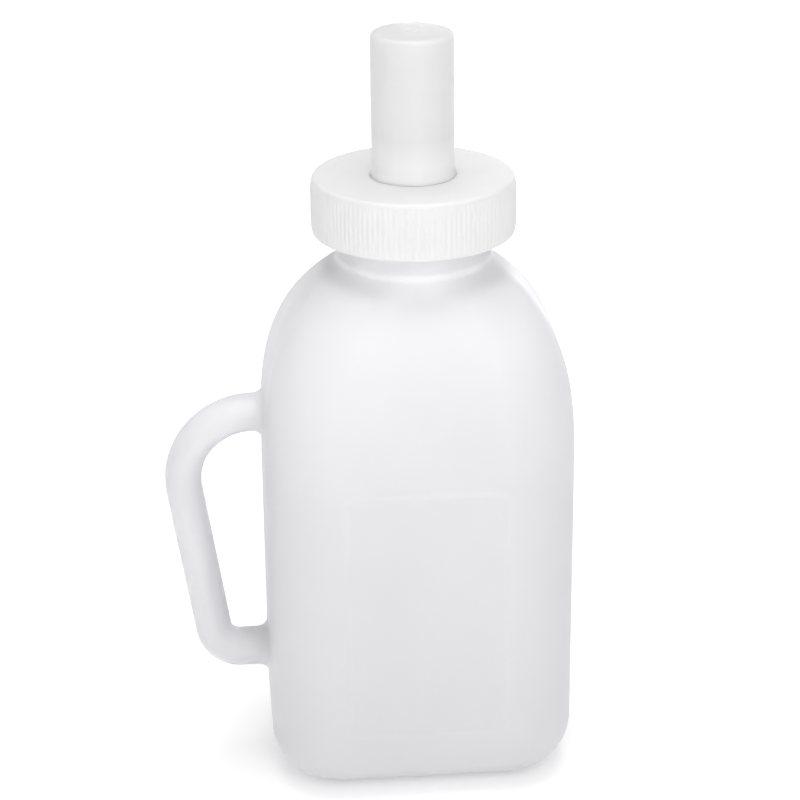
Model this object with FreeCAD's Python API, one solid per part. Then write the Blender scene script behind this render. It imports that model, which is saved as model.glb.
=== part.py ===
"""Calf feeding bottle: a two-litre blow-moulded bottle with a moulded-in handle, a screw cap, and a teat.

Millimetres. +Z is up, the bottle's front panel faces -Y and its handle points to -X. The origin is on the
resting plane, on the axis that the neck, the cap and the teat share.
"""

import FreeCAD, Part

import math
import os

V = FreeCAD.Vector
UP = V(0, 0, 1)
OVER = 1.0  # how far a cutting tool runs past what it cuts
SLACK = V(0.01, 0.01, 0.01)  # for finding edges by their place

# ---- Bottle body -------------------------------------------------------------------------------------
BODY_WIDTH = 123.0
BODY_DEPTH = 96.0
CORNER_RADIUS = 28.0  # vertical corners, in plan
BASE_RADIUS = 22.0  # edge between the walls and the base
BODY_WALL = 1.8
SHOULDER_START = 128.0  # height where the walls begin to curve in
SHOULDER_HEIGHT = 89.0
SHOULDER_FULLNESS = 3.3  # a higher power keeps the shoulder upright for longer
SHOULDER_CROWN = 0.82  # a lower power makes the top of the shoulder steeper
SHOULDER_SECTIONS = 14
CROWN_INSET = 1.5  # the shoulder closes in to this far inside the neck
CROWN_FLAT = 0.5  # straight half-length left between the crown's corners

# ---- Recesses in the body ----------------------------------------------------------------------------
PANEL_WIDTH = 65.0  # label panel at the wall's surface
PANEL_HEIGHT = 106.0
PANEL_BOTTOM = 28.5
PANEL_DEPTH = 1.0
PANEL_BEVEL = 3.0  # how far the panel's sloping border runs in
PANEL_CORNER = 5.0
PUSH_UP_MARGIN = 7.0  # width of the flat ring that the bottle stands on
PUSH_UP_DEPTH = 2.5
PUSH_UP_BEVEL = 5.0
PUSH_UP_CORNER = 11.0

# ---- Handle, moulded in one with the body and hollow -------------------------------------------------
HANDLE_TOP_Z = 152.7  # centre of the upper arm
HANDLE_BOTTOM_Z = 47.5  # centre of the lower arm
HANDLE_LOWER_REACH = 21.0  # body side to the grip's centre line, at the lower arm
GRIP_LEAN = 8.6  # degrees that the grip leans out from the vertical
HANDLE_TOP_BEND = 28.4
HANDLE_BOTTOM_BEND = 11.0
HANDLE_THICKNESS = 14.4  # seen from the front
HANDLE_DEPTH = 20.0
HANDLE_WALL = 1.8
HANDLE_ROOT = 7.0  # how far the arms' centre line runs on inside the body
HANDLE_ROOT_FILLET = 2.0

# ---- Neck --------------------------------------------------------------------------------------------
NECK_RADIUS = 28.0
NECK_WALL = 2.6
NECK_HEIGHT = 24.0  # from the shoulder's top to the rim
NECK_FOOT_FILLET = 4.5
RIM_EDGE = 0.6

# ---- Thread, right-handed, one start -----------------------------------------------------------------
THREAD_PITCH = 6.0
THREAD_DEPTH = 1.8
THREAD_ROOT_WIDTH = 3.0
THREAD_CREST_WIDTH = 1.2
THREAD_CLEARANCE = 0.35  # radial
THREAD_FLANK_GAP = 0.2  # axial, between the flanks that pull the cap down
NECK_THREAD_TURNS = 1.4
NECK_THREAD_LAND = 2.6  # rim to the centre of the thread's upper end
CAP_THREAD_TURNS = 1.0
THREAD_SINK = 0.4  # how deep a ridge is rooted in its wall

# ---- Closure stack, from the rim up ------------------------------------------------------------------
GASKET_THICKNESS = 1.6
DISC_THICKNESS = 1.8
TEAT_FLANGE = 2.6
CAP_PLATE = 2.6
STACK_SIDE_CLEARANCE = 0.5  # stacked rings to the cap's inner skirt

# ---- Screw cap ---------------------------------------------------------------------------------------
CAP_HEIGHT = 22.3
CAP_INNER_SKIRT = 2.0
CAP_OUTER_SKIRT = 2.2
CAP_SKIRT_GAP = 5.65
CAP_INNER_SKIRT_LIFT = 1.0  # the inner skirt stops this far over the outer skirt's foot
CAP_WEBS = 12
CAP_WEB_THICKNESS = 1.2
CAP_WEB_LIFT = 5.0
CAP_TOP_EDGE = 1.8
CAP_FOOT_EDGE = 0.5
RIB_COUNT = 120
RIB_HEIGHT = 0.45
RIB_SHARE = 0.7  # of the pitch, the rest is valley
RIB_FOOT_LAND = 1.4  # plain bands under and over the ribs
RIB_TOP_LAND = 3.0

# ---- Teat --------------------------------------------------------------------------------------------
TEAT_RADIUS = 16.1
TEAT_LENGTH = 56.5  # over the cap
TEAT_WALL = 2.8
TEAT_TIP_WALL = 3.4
TEAT_TIP_EDGE = 2.6
TEAT_TIP_CROWN = 0.7  # how far the middle of the tip stands over its edge
TEAT_FLARE = 0.7  # how far the teat's foot widens, just over the cap
TEAT_FLARE_HEIGHT = 3.0
TEAT_FLARE_GAP = 0.1  # flare to the cap's top
TEAT_CLEARANCE = 0.35  # teat to the cap's hole
SLIT_LENGTH = 9.0
SLIT_WIDTH = 0.5

# ---- Flow valve in the teat's root -------------------------------------------------------------------
VALVE_FIT = 0.05  # slack between pieces that are pushed together
BALL_RADIUS = 6.0
BALL_TRAVEL = 3.5
BALL_SEAT_GAP = 0.03
BALL_SIDE_CLEARANCE = 2.2  # milk passes here
VALVE_PASSAGE_RADIUS = 4.0
VALVE_PASSAGE_LENGTH = 1.5
VALVE_SPIGOT_RADIUS = 10.0
VALVE_SPIGOT_LENGTH = 5.4  # under the disc's top face
CAGE_THICKNESS = 1.8
CAGE_RIM = 2.2
CAGE_HUB_RADIUS = 2.4
CAGE_SPOKES = 3
CAGE_SPOKE_WIDTH = 2.0
VALVE_LIP = 1.6  # housing wall round the cage

# ---- Air vent valve in the disc ----------------------------------------------------------------------
VENT_MARGIN = 1.0  # vent flange to the gasket's inner edge
VENT_STEM_RADIUS = 1.9
VENT_FLANGE_RADIUS = 3.3
VENT_FLANGE = 0.8
VENT_BORE_RADIUS = 1.1
VENT_BILL_LENGTH = 4.5  # under the disc
VENT_BILL_TIP = 1.0
VENT_TAPER_LAND = 1.0  # plain stem under the disc, over the bill's taper
VENT_SLIT = 0.3
VENT_GROOVE_WIDTH = 1.2
VENT_GROOVE_DEPTH = 0.5

# ---- Derived sizes -----------------------------------------------------------------------------------
SHOULDER_TOP = SHOULDER_START + SHOULDER_HEIGHT
CROWN_RADIUS = NECK_RADIUS - CROWN_INSET
RIM_Z = SHOULDER_TOP + NECK_HEIGHT
NECK_THREAD_LOW = RIM_Z - NECK_THREAD_LAND - NECK_THREAD_TURNS * THREAD_PITCH
NECK_BORE_RADIUS = NECK_RADIUS - NECK_WALL

GASKET_TOP = RIM_Z + GASKET_THICKNESS
DISC_TOP = GASKET_TOP + DISC_THICKNESS
FLANGE_TOP = DISC_TOP + TEAT_FLANGE
CAP_TOP = FLANGE_TOP + CAP_PLATE
CAP_FOOT = CAP_TOP - CAP_HEIGHT

CAP_BORE_RADIUS = NECK_RADIUS + THREAD_DEPTH + THREAD_CLEARANCE
STACK_RADIUS = CAP_BORE_RADIUS - STACK_SIDE_CLEARANCE
CAP_INNER_RADIUS = CAP_BORE_RADIUS + CAP_INNER_SKIRT
CAP_RADIUS = CAP_INNER_RADIUS + CAP_SKIRT_GAP + CAP_OUTER_SKIRT
CAP_HOLE_RADIUS = TEAT_RADIUS + TEAT_CLEARANCE

TEAT_TOP = CAP_TOP + TEAT_LENGTH
TEAT_BORE_RADIUS = TEAT_RADIUS - TEAT_WALL

VALVE_RADIUS = TEAT_BORE_RADIUS - VALVE_FIT
VALVE_FOOT = DISC_TOP - VALVE_SPIGOT_LENGTH
SEAT_Z = VALVE_FOOT + VALVE_PASSAGE_LENGTH
CHAMBER_RADIUS = BALL_RADIUS + BALL_SIDE_CLEARANCE
BALL_Z = SEAT_Z - VALVE_PASSAGE_RADIUS + BALL_RADIUS * math.sqrt(2.0) + BALL_SEAT_GAP
CAGE_FOOT = BALL_Z + BALL_RADIUS + BALL_TRAVEL + BALL_SEAT_GAP
CAGE_RADIUS = VALVE_RADIUS - VALVE_LIP
VALVE_TOP = CAGE_FOOT + CAGE_THICKNESS

VENT_X = NECK_BORE_RADIUS - VENT_MARGIN - VENT_FLANGE_RADIUS


# ---- Helpers -----------------------------------------------------------------------------------------
def cylinder(radius, low, high, x=0.0):
    """An upright cylinder between two heights."""
    return Part.makeCylinder(radius, high - low, V(x, 0, low), UP)


def turned(outline):
    """The solid made by turning a closed outline round Z. An entry is (r, z), reached by a straight line, or
    (r, z, middle_r, middle_z), reached by an arc through that middle point."""
    edges = []
    for before, entry in zip(outline[-1:] + outline[:-1], outline):
        start = V(before[0], 0, before[1])
        end = V(entry[0], 0, entry[1])
        if len(entry) == 4:
            edges.append(Part.Arc(start, V(entry[2], 0, entry[3]), end).toShape())
        else:
            edges.append(Part.makeLine(start, end))
    return Part.Face(Part.Wire(edges)).revolve(V(0, 0, 0), UP, 360)


def edges_in_box(shape, low, high):
    """The edges of a shape that lie wholly between two corners."""
    box = FreeCAD.BoundBox(*low, *high)
    return [edge for edge in shape.Edges if box.isInside(edge.BoundBox)]


def round_edge(shape, radius, z, fillet):
    """Fillets the edge that runs round Z at this radius and height."""
    level = edges_in_box(shape, V(-radius, -radius, z) - SLACK, V(radius, radius, z) + SLACK)
    outermost = [edge for edge in level if edge.BoundBox.XMax > radius - SLACK.x]
    return shape.makeFillet(fillet, outermost)


def ring(inner, outer, low, high):
    """A plain flat ring."""
    return cylinder(outer, low, high).cut(cylinder(inner, low - OVER, high + OVER))


def rounded_rectangle(half_u, half_v, radius, place):
    """A closed wire of four lines and four arcs. place(u, v) gives each point in space."""
    edges = []
    flat_u = half_u - radius
    flat_v = half_v - radius
    corners = [(flat_u, flat_v), (-flat_u, flat_v), (-flat_u, -flat_v), (flat_u, -flat_v)]

    def on_corner(index, quarter):
        angle = math.pi / 2 * (index + quarter)
        u, v = corners[index]
        return place(u + radius * math.cos(angle), v + radius * math.sin(angle))

    for index in range(4):
        start, middle, end = (on_corner(index, q) for q in (0.0, 0.5, 1.0))
        edges.append(Part.Arc(start, middle, end).toShape())
        edges.append(Part.makeLine(end, on_corner((index + 1) % 4, 0.0)))
    return Part.Wire(edges)


def rounded_path(points, radii):
    """A wire of straight runs joined by tangent arcs, one radius for each inner point."""
    edges = []
    start = points[0]
    for before, point, after, radius in zip(points, points[1:], points[2:], radii):
        back = (before - point).normalize()
        ahead = (after - point).normalize()
        half_angle = back.getAngle(ahead) / 2
        tangent = radius / math.tan(half_angle)
        arc_start = point + back * tangent
        arc_end = point + ahead * tangent
        inward = (back + ahead).normalize()
        arc_middle = point + inward * (radius / math.sin(half_angle) - radius)
        edges.append(Part.makeLine(start, arc_start))
        edges.append(Part.Arc(arc_start, arc_middle, arc_end).toShape())
        start = arc_end
    edges.append(Part.makeLine(start, points[-1]))
    return Part.Wire(edges)


def thread_ridge(wall_radius, outward, low_z, turns):
    """A helical ridge with a trapezium section, rooted in a wall of wall_radius. outward is 1 on the neck
    and -1 in the cap. low_z is the height of its lower end's centre, which is at angle zero."""
    helix = Part.Wire(Part.makeHelix(THREAD_PITCH, THREAD_PITCH * turns, wall_radius))
    helix.translate(V(0, 0, low_z))
    flank = (THREAD_ROOT_WIDTH - THREAD_CREST_WIDTH) / 2 / THREAD_DEPTH
    root = THREAD_ROOT_WIDTH / 2 + flank * THREAD_SINK
    crest = THREAD_CREST_WIDTH / 2
    inner = wall_radius - outward * THREAD_SINK
    tip = wall_radius + outward * THREAD_DEPTH
    corners = [(inner, -root), (tip, -crest), (tip, crest), (inner, root)]
    section = Part.makePolygon([V(r, 0, low_z + z) for r, z in corners + corners[:1]])
    return helix.makePipeShell([section], True, True)


# ---- Bottle ------------------------------------------------------------------------------------------
def shoulder_share(rise):
    """How much of the body's extra half-width is left at this share of the shoulder's rise."""
    return (1 - rise**SHOULDER_FULLNESS) ** SHOULDER_CROWN


def shoulder_section(rise, inset):
    """The shoulder's plan at a share of its rise, all round `inset` inside the outer surface."""
    share = shoulder_share(rise)
    half_x = CROWN_RADIUS + (BODY_WIDTH / 2 - CROWN_RADIUS) * share - inset
    half_y = CROWN_RADIUS + (BODY_DEPTH / 2 - CROWN_RADIUS) * share - inset
    crown_corner = CROWN_RADIUS - CROWN_FLAT
    radius = CORNER_RADIUS + (crown_corner - CORNER_RADIUS) * rise**2 - inset
    z = SHOULDER_START + (SHOULDER_HEIGHT - inset) * rise
    return rounded_rectangle(half_x, half_y, radius, lambda x, y: V(x, y, z))


def envelope(inset):
    """The body without neck or handle, as a solid whose surface is `inset` inside the bottle's."""
    plan = rounded_rectangle(
        BODY_WIDTH / 2 - inset,
        BODY_DEPTH / 2 - inset,
        CORNER_RADIUS - inset,
        lambda x, y: V(x, y, inset),
    )
    walls = Part.Face(plan).extrude(UP * (SHOULDER_START - inset))
    base_edges = [e for e in walls.Edges if e.BoundBox.ZMax < inset + 0.01]
    walls = walls.makeFillet(BASE_RADIUS - inset, base_edges)
    steps = SHOULDER_SECTIONS - 1
    rises = [math.sin(math.pi / 2 * i / steps) for i in range(SHOULDER_SECTIONS)]
    shoulder = Part.makeLoft([shoulder_section(r, inset) for r in rises], True, False)
    return walls.fuse(shoulder)


def panel_block(side, shift):
    """The block that presses the label panel into the wall. side is -1 at the front and 1 at the back;
    shift moves it inwards, so that the wall keeps its thickness behind the panel."""
    centre_z = PANEL_BOTTOM + PANEL_HEIGHT / 2
    slope = PANEL_BEVEL / PANEL_DEPTH

    def outline(depth):
        shrink = slope * depth
        y = side * (BODY_DEPTH / 2 - shift - depth)
        return rounded_rectangle(
            PANEL_WIDTH / 2 - shrink,
            PANEL_HEIGHT / 2 - shrink,
            PANEL_CORNER - shrink,
            lambda x, z: V(x, y, centre_z + z),
        )

    return Part.makeLoft([outline(-OVER), outline(PANEL_DEPTH)], True, True)


def push_up_block(shift):
    """The hollow under the base, which leaves a flat ring to stand on. shift raises it, for the inside."""
    margin = BASE_RADIUS + PUSH_UP_MARGIN
    half_x = BODY_WIDTH / 2 - margin
    half_y = BODY_DEPTH / 2 - margin

    def outline(rise):
        grow = -PUSH_UP_BEVEL * rise / PUSH_UP_DEPTH
        z = shift + rise
        corner = PUSH_UP_CORNER + grow
        return rounded_rectangle(half_x + grow, half_y + grow, corner, lambda x, y: V(x, y, z))

    return Part.makeLoft([outline(-PUSH_UP_DEPTH), outline(PUSH_UP_DEPTH)], True, True)


def handle_tube(inset):
    """The handle as a bent oval bar, `inset` inside its outer surface, with its ends inside the body."""
    side = -BODY_WIDTH / 2
    lower_x = side - HANDLE_LOWER_REACH
    lean = math.tan(math.radians(GRIP_LEAN))
    upper_x = lower_x - lean * (HANDLE_TOP_Z - HANDLE_BOTTOM_Z)
    points = [
        V(side + HANDLE_ROOT, 0, HANDLE_TOP_Z),
        V(upper_x, 0, HANDLE_TOP_Z),
        V(lower_x, 0, HANDLE_BOTTOM_Z),
        V(side + HANDLE_ROOT, 0, HANDLE_BOTTOM_Z),
    ]
    path = rounded_path(points, [HANDLE_TOP_BEND, HANDLE_BOTTOM_BEND])
    half_depth = HANDLE_DEPTH / 2 - inset
    half_thick = HANDLE_THICKNESS / 2 - inset
    oval = Part.Ellipse(
        points[0] + V(0, half_depth, 0), points[0] + V(0, 0, half_thick), points[0]
    )
    return path.makePipeShell([Part.Wire(oval.toShape())], True, False)


def fillet_handle_roots(shape):
    """Rounds the two edges where the handle's arms leave the body."""
    roots = []
    side = -BODY_WIDTH / 2
    for centre_z in (HANDLE_TOP_Z, HANDLE_BOTTOM_Z):
        reach = V(0, HANDLE_DEPTH / 2, HANDLE_THICKNESS / 2) + SLACK
        low = V(side, 0, centre_z) - reach
        high = V(side + HANDLE_ROOT, 0, centre_z) + reach
        roots += edges_in_box(shape, low, high)
    return shape.makeFillet(HANDLE_ROOT_FILLET, roots)


def fillet_neck_foot(shape):
    """Rounds the edge where the neck rises out of the shoulder."""
    low = V(-NECK_RADIUS, -NECK_RADIUS, SHOULDER_TOP - NECK_RADIUS / 2)
    high = V(NECK_RADIUS, NECK_RADIUS, SHOULDER_TOP)
    return shape.makeFillet(NECK_FOOT_FILLET, edges_in_box(shape, low - SLACK, high + SLACK))


def make_bottle():
    """The hollow bottle with its moulded-in handle, open at the neck."""
    outside = envelope(0.0)
    inside = envelope(BODY_WALL)
    for side in (-1, 1):
        outside = outside.cut(panel_block(side, 0.0))
        inside = inside.cut(panel_block(side, BODY_WALL))
    outside = outside.cut(push_up_block(0.0))
    inside = inside.cut(push_up_block(BODY_WALL))
    outside = fillet_handle_roots(outside.fuse(handle_tube(0.0)))
    inside = inside.fuse(handle_tube(HANDLE_WALL))
    buried_z = SHOULDER_TOP - NECK_RADIUS / 2
    plug = round_edge(cylinder(NECK_RADIUS, buried_z, RIM_Z), NECK_RADIUS, RIM_Z, RIM_EDGE)
    ridge = thread_ridge(NECK_RADIUS, 1, NECK_THREAD_LOW, NECK_THREAD_TURNS)
    outside = fillet_neck_foot(outside.fuse(plug)).fuse(ridge)
    bore = cylinder(NECK_BORE_RADIUS, SHOULDER_TOP - NECK_FOOT_FILLET, RIM_Z + OVER)
    return outside.cut(inside).cut(bore)


# ---- Closure -----------------------------------------------------------------------------------------
def ribbed_ring():
    """The ring of fine grip ribs round the cap's skirt."""
    low = CAP_FOOT + RIB_FOOT_LAND
    high = CAP_TOP - RIB_TOP_LAND
    valley = CAP_RADIUS - RIB_HEIGHT
    pitch = 2 * math.pi / RIB_COUNT

    def at(radius, turns):
        return V(radius * math.cos(turns * pitch), radius * math.sin(turns * pitch), low)

    edges = []
    for rib in range(RIB_COUNT):
        foot = at(valley, rib + RIB_SHARE / 2)
        crest = Part.Arc(at(valley, rib - RIB_SHARE / 2), at(CAP_RADIUS, rib), foot)
        edges.append(crest.toShape())
        edges.append(Part.makeLine(foot, at(valley, rib + 1 - RIB_SHARE / 2)))
    ribs = Part.Face(Part.Wire(edges)).extrude(UP * (high - low))
    return ribs.cut(cylinder(CAP_RADIUS - CAP_OUTER_SKIRT / 2, low - OVER, high + OVER))


def make_screw_cap():
    """The double-walled cap: a ribbed outer skirt, and an inner skirt that carries the thread."""
    outer = CAP_RADIUS - RIB_HEIGHT
    skirt_inside = CAP_RADIUS - CAP_OUTER_SKIRT
    inner_foot = CAP_FOOT + CAP_INNER_SKIRT_LIFT
    shell = turned(
        [
            (CAP_HOLE_RADIUS, CAP_TOP),
            (CAP_HOLE_RADIUS, FLANGE_TOP),
            (CAP_BORE_RADIUS, FLANGE_TOP),
            (CAP_BORE_RADIUS, inner_foot),
            (CAP_INNER_RADIUS, inner_foot),
            (CAP_INNER_RADIUS, FLANGE_TOP),
            (skirt_inside, FLANGE_TOP),
            (skirt_inside, CAP_FOOT),
            (outer, CAP_FOOT),
            (outer, CAP_TOP),
        ]
    )
    shell = round_edge(shell, outer, CAP_TOP, CAP_TOP_EDGE)
    shell = round_edge(shell, outer, CAP_FOOT, CAP_FOOT_EDGE)
    web_low = CAP_FOOT + CAP_WEB_LIFT
    sink = min(CAP_INNER_SKIRT, CAP_OUTER_SKIRT) / 2
    web_length = CAP_SKIRT_GAP + 2 * sink
    webs = []
    for index in range(CAP_WEBS):
        web = Part.makeBox(web_length, CAP_WEB_THICKNESS, FLANGE_TOP + CAP_PLATE / 2 - web_low)
        web.translate(V(CAP_INNER_RADIUS - sink, -CAP_WEB_THICKNESS / 2, web_low))
        web.rotate(V(0, 0, 0), UP, 360.0 * index / CAP_WEBS)
        webs.append(web)
    drop = (THREAD_ROOT_WIDTH + THREAD_CREST_WIDTH) / 2 + THREAD_FLANK_GAP
    ridge_low = NECK_THREAD_LOW - drop + THREAD_PITCH / 2
    ridge = thread_ridge(CAP_BORE_RADIUS, -1, ridge_low, CAP_THREAD_TURNS)
    ridge.rotate(V(0, 0, 0), UP, 180)
    return shell.fuse([ribbed_ring(), ridge, *webs])


def make_teat():
    """The hollow teat, with a wide flange at its root and a cross slit through its tip."""
    tip_z = TEAT_TOP - TEAT_TIP_CROWN
    bore_top = TEAT_TOP - TEAT_TIP_WALL
    flare_low = CAP_TOP + TEAT_FLARE_GAP
    flare_middle = flare_low + TEAT_FLARE_HEIGHT / 3
    body = turned(
        [
            (0, bore_top),
            (TEAT_BORE_RADIUS, bore_top),
            (TEAT_BORE_RADIUS, DISC_TOP),
            (STACK_RADIUS, DISC_TOP),
            (STACK_RADIUS, FLANGE_TOP),
            (TEAT_RADIUS, FLANGE_TOP),
            (TEAT_RADIUS, flare_low),
            (TEAT_RADIUS + TEAT_FLARE, flare_low),
            (TEAT_RADIUS, flare_low + TEAT_FLARE_HEIGHT, TEAT_RADIUS + TEAT_FLARE / 3, flare_middle),
            (TEAT_RADIUS, tip_z),
            (0, TEAT_TOP, TEAT_RADIUS / 2, TEAT_TOP - TEAT_TIP_CROWN / 4),
        ]
    )
    body = round_edge(body, TEAT_RADIUS, tip_z, TEAT_TIP_EDGE)
    body = round_edge(body, TEAT_BORE_RADIUS, bore_top, TEAT_TIP_EDGE)
    slit_height = 2 * TEAT_TIP_WALL
    for angle in (45, 135):
        slit = Part.makeBox(SLIT_LENGTH, SLIT_WIDTH, slit_height)
        slit.translate(V(-SLIT_LENGTH / 2, -SLIT_WIDTH / 2, bore_top - TEAT_TIP_WALL / 2))
        slit.rotate(V(0, 0, 0), UP, angle)
        body = body.cut(slit)
    return body


def make_rim_gasket():
    """The flat silicone ring that seals the disc to the rim."""
    return ring(NECK_BORE_RADIUS, STACK_RADIUS, RIM_Z, GASKET_TOP)


def make_support_disc():
    """The stiff disc that clamps the teat's flange and carries both valves. Air comes in along its groove."""
    disc = cylinder(STACK_RADIUS, GASKET_TOP, DISC_TOP)
    disc = disc.cut(cylinder(VALVE_SPIGOT_RADIUS + VALVE_FIT, GASKET_TOP - OVER, DISC_TOP + OVER))
    stem_radius = VENT_STEM_RADIUS + VALVE_FIT
    stem_hole = cylinder(stem_radius, GASKET_TOP - OVER, DISC_TOP + OVER, VENT_X)
    sunk_z = DISC_TOP - VENT_FLANGE
    flange_seat = cylinder(VENT_FLANGE_RADIUS + VALVE_FIT, sunk_z, DISC_TOP + OVER, VENT_X)
    groove = Part.makeBox(STACK_RADIUS - VENT_X + OVER, VENT_GROOVE_WIDTH, VENT_GROOVE_DEPTH + OVER)
    groove.translate(V(VENT_X, -VENT_GROOVE_WIDTH / 2, DISC_TOP - VENT_GROOVE_DEPTH))
    return disc.cut([stem_hole, flange_seat, groove])


def make_vent_valve():
    """The small duckbill: its flange sits in the disc, and its bill hangs into the bottle's neck."""
    sunk_z = DISC_TOP - VENT_FLANGE
    foot_z = GASKET_TOP - VENT_BILL_LENGTH
    stem = cylinder(VENT_STEM_RADIUS, foot_z, sunk_z, VENT_X)
    head = cylinder(VENT_FLANGE_RADIUS, sunk_z, DISC_TOP, VENT_X)
    valve = stem.fuse(head)
    taper_top = GASKET_TOP - VENT_TAPER_LAND
    reach = VENT_STEM_RADIUS + OVER
    for side in (-1, 1):
        corners = [
            V(VENT_X - reach, side * VENT_STEM_RADIUS, taper_top),
            V(VENT_X - reach, side * VENT_BILL_TIP / 2, foot_z),
            V(VENT_X - reach, side * VENT_BILL_TIP / 2, foot_z - OVER),
            V(VENT_X - reach, side * reach, foot_z - OVER),
            V(VENT_X - reach, side * reach, taper_top),
        ]
        wedge = Part.Face(Part.makePolygon(corners + corners[:1]))
        valve = valve.cut(wedge.extrude(V(2 * reach, 0, 0)))
    bore = cylinder(VENT_BORE_RADIUS, taper_top, DISC_TOP + OVER, VENT_X)
    slit = Part.makeBox(2 * VENT_BORE_RADIUS, VENT_SLIT, taper_top - foot_z + 2 * OVER)
    slit.translate(V(VENT_X - VENT_BORE_RADIUS, -VENT_SLIT / 2, foot_z - OVER))
    inlet = Part.makeBox(VENT_FLANGE_RADIUS + OVER, VENT_GROOVE_WIDTH, VENT_GROOVE_DEPTH + OVER)
    inlet.translate(V(VENT_X, -VENT_GROOVE_WIDTH / 2, DISC_TOP - VENT_GROOVE_DEPTH))
    return valve.cut([bore, slit, inlet])


def make_valve_housing():
    """The plug in the teat's root: a passage, a conical seat, and the chamber that the ball moves in."""
    cone_top = SEAT_Z + CHAMBER_RADIUS - VALVE_PASSAGE_RADIUS
    return turned(
        [
            (VALVE_PASSAGE_RADIUS, VALVE_FOOT),
            (VALVE_SPIGOT_RADIUS, VALVE_FOOT),
            (VALVE_SPIGOT_RADIUS, DISC_TOP),
            (VALVE_RADIUS, DISC_TOP),
            (VALVE_RADIUS, VALVE_TOP),
            (CAGE_RADIUS, VALVE_TOP),
            (CAGE_RADIUS, CAGE_FOOT),
            (CHAMBER_RADIUS, CAGE_FOOT),
            (CHAMBER_RADIUS, cone_top),
            (VALVE_PASSAGE_RADIUS, SEAT_Z),
        ]
    )


def make_valve_cage():
    """The spoked cover that keeps the ball in its chamber."""
    outer = CAGE_RADIUS - VALVE_FIT
    cage = ring(outer - CAGE_RIM, outer, CAGE_FOOT, VALVE_TOP)
    cage = cage.fuse(cylinder(CAGE_HUB_RADIUS, CAGE_FOOT, VALVE_TOP))
    for index in range(CAGE_SPOKES):
        spoke = Part.makeBox(outer - CAGE_RIM / 2, CAGE_SPOKE_WIDTH, CAGE_THICKNESS)
        spoke.translate(V(0, -CAGE_SPOKE_WIDTH / 2, CAGE_FOOT))
        spoke.rotate(V(0, 0, 0), UP, 360.0 * index / CAGE_SPOKES)
        cage = cage.fuse(spoke)
    return cage


def make_valve_ball():
    """The loose ball, at rest on its seat."""
    return Part.makeSphere(BALL_RADIUS, V(0, 0, BALL_Z))


# ---- Export ------------------------------------------------------------------------------------------
NODES = {
    "bottle": make_bottle,
    "screw_cap": make_screw_cap,
    "teat": make_teat,
    "rim_gasket": make_rim_gasket,
    "support_disc": make_support_disc,
    "vent_valve": make_vent_valve,
    "valve_housing": make_valve_housing,
    "valve_cage": make_valve_cage,
    "valve_ball": make_valve_ball,
}

os.makedirs("parts", exist_ok=True)
for name, make in NODES.items():
    shape = make().removeSplitter()
    shape.exportStep(f"parts/{name}.step")
    solids = len(shape.Solids)
    print(f"{name}: {solids} solid(s), valid {shape.isValid()}, {shape.Volume / 1000:.2f} cm3")
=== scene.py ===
"""Calf feeding bottle: the look of every piece, the floor, the light and the camera.

The moulded bottle is described by a distance field, so that its soft panels, its handle's roots and its
neck's foot blend into each other the way blown plastic does. The cap and the teat are turned from outlines.
"""

import math

import bmesh
import bpy
import numpy as np
from mathutils import Matrix, Vector


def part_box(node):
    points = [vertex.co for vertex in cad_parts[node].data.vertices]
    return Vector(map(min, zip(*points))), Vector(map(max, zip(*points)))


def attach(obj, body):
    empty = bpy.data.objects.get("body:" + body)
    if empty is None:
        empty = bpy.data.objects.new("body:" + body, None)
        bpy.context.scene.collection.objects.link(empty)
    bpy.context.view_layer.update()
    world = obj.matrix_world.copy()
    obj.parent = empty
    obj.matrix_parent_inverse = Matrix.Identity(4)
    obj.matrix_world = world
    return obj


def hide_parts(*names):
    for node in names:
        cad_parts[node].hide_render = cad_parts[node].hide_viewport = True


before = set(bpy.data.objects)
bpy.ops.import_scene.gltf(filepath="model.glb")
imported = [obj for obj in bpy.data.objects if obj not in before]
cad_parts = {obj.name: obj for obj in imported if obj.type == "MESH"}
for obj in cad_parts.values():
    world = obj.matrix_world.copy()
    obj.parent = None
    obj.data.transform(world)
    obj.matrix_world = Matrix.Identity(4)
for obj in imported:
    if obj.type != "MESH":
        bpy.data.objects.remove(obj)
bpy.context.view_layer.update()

MM = 0.001

# ---- Places taken from the frame ---------------------------------------------------------------------
bottle_low, bottle_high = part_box("bottle")
cap_low, cap_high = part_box("screw_cap")
teat_low, teat_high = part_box("teat")

HALF_X = bottle_high.x
HALF_Y = bottle_high.y
RIM_Z = bottle_high.z

# ---- Bottle ------------------------------------------------------------------------------------------
CORNER_RADIUS = 28 * MM
BASE_RADIUS = 22 * MM
WALL = 1.8 * MM
SHOULDER_START = 128 * MM
SHOULDER_TOP = 217 * MM
NECK_RADIUS = 28 * MM
NECK_WALL = 2.6 * MM
CROWN_INSET = 1.5 * MM
CROWN_RADIUS = NECK_RADIUS - CROWN_INSET
# Up the shoulder, the width goes from the body's to the crown's as (1 - rise ** fullness) ** crown.
SHOULDER_FULLNESS = 3.3
SHOULDER_CROWN = 0.82
STEEPEST_SLOPE = 3.0
LEAST_LEFT = 1e-4
NECK_BLEND = 7 * MM
RIM_EDGE = 0.7 * MM
# How far the neck and its bore reach down into the shoulder, and the bore past the rim.
NECK_SINK = 14 * MM
BORE_SINK = 10 * MM
BORE_OVERRUN = 4 * MM
BORE_BLEND = 3 * MM

PANEL_HALF_WIDTH = 32.5 * MM
PANEL_HALF_HEIGHT = 53 * MM
PANEL_CENTRE_Z = 81.5 * MM
PANEL_CORNER = 5 * MM
PANEL_DEPTH = 1.0 * MM
PANEL_SLOPE = 2.0 * MM

PUSH_UP_HALF_X = 32 * MM
PUSH_UP_HALF_Y = 18.5 * MM
PUSH_UP_CORNER = 12 * MM
PUSH_UP_SLOPE = 9 * MM
PUSH_UP_DEPTH = 2.5 * MM

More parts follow.
